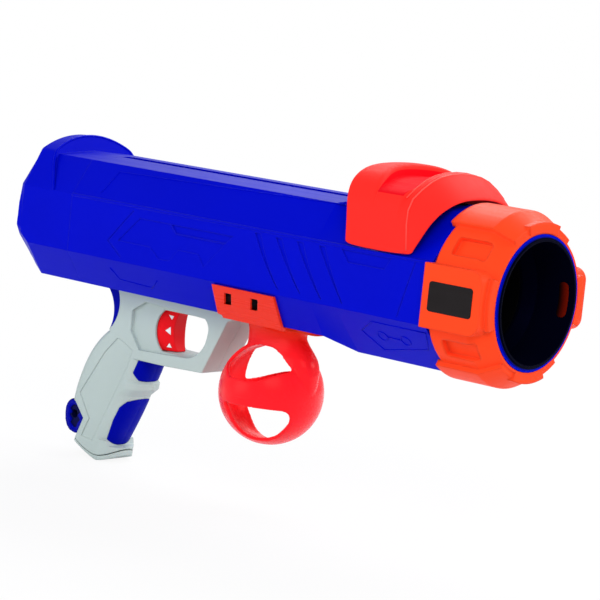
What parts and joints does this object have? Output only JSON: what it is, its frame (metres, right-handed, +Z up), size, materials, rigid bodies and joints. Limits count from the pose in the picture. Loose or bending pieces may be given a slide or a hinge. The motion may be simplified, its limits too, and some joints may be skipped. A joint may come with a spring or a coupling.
{
  "type": "dog tennis ball launcher",
  "caption": "Hand-held tennis ball launcher for dogs: blue barrel housing, orange-red saddle slide and muzzle ring, grey grip with red trigger, and a red cage for a spare ball.",
  "frame": {"origin": "centre of the muzzle opening, at the liner's front face on the barrel's axis", "axes": "+X forward out of the muzzle, +Y to the left, +Z up; the picture shows the right side, -Y"},
  "size_m": [0.405, 0.1084, 0.2348],
  "materials": {
    "body_blue": "glossy blue",
    "saddle_red": "satin orange red",
    "ring_orange": "satin orange red",
    "holder_red": "glossy red",
    "trigger_red": "glossy red",
    "liner_blue": "satin blue, dark inside",
    "grip_grey": "satin light grey",
    "strap_blue": "soft blue",
    "label_black": "blank satin black",
    "pad_red": "soft orange red",
    "inner_black": "black",
    "inner_grey": "natural",
    "seal_black": "black",
    "steel": "plain"
  },
  "bodies": {
    "launcher": {"shell_left": "body_blue", "shell_right": "body_blue", "rear_cap": "body_blue", "muzzle_ring": "ring_orange", "label_plate": "label_black", "muzzle_liner": "liner_blue", "detent_pads": "pad_red", "barrel_tube": "inner_black", "breech_plate": "inner_black", "cylinder_gasket": "seal_black", "air_cylinder": "inner_grey", "spring_seat": "inner_grey", "plunger_bumper": "seal_black", "mainspring": "steel", "grip_left": "grip_grey", "grip_right": "grip_grey", "inlay_upper": "strap_blue", "inlay_lower": "strap_blue", "backstrap": "strap_blue", "lanyard_block": "strap_blue", "butt_cap": "grip_grey", "body_screws": "steel", "grip_screws": "steel", "trigger_spring": "steel", "sear_pin": "steel", "sear_spring": "steel", "ball_holder": "holder_red"},
    "slide": {"prime_slide": "saddle_red", "slide_bar": "inner_black", "slide_screws": "steel"},
    "plunger": {"plunger_head": "inner_grey", "plunger_seal": "seal_black", "plunger_rod": "inner_grey", "rod_pin": "steel"},
    "trigger_unit": {"trigger": "trigger_red"},
    "sear_unit": {"sear": "inner_black"}
  },
  "joints": [
    {"name": "slide_prime", "type": "slide", "parent": "launcher", "child": "slide", "axis": [-1, 0, 0], "range_m": [0, 0.08]},
    {"name": "plunger_stroke", "type": "slide", "parent": "launcher", "child": "plunger", "axis": [-1, 0, 0], "range_m": [0, 0.08], "stiffness_N_per_m": 300, "springref_m": -0.02, "deforming": ["mainspring"]},
    {"name": "trigger_pull", "type": "slide", "parent": "launcher", "child": "trigger_unit", "axis": [-1, 0, 0], "range_m": [0, 0.008], "stiffness_N_per_m": 400, "springref_m": -0.003, "deforming": ["trigger_spring"]},
    {"name": "sear_turn", "type": "hinge", "parent": "launcher", "child": "sear_unit", "pos_m": [-0.318, 0, -0.026], "axis": [0, 1, 0], "range_deg": [0, 13], "deforming": ["sear_spring"]}
  ],
  "couplings": [
    {"joint": "plunger_stroke", "follows": "slide_prime", "ratio": 1},
    {"joint": "sear_turn", "follows": "trigger_pull", "rad_per_m": 28}
  ]
}
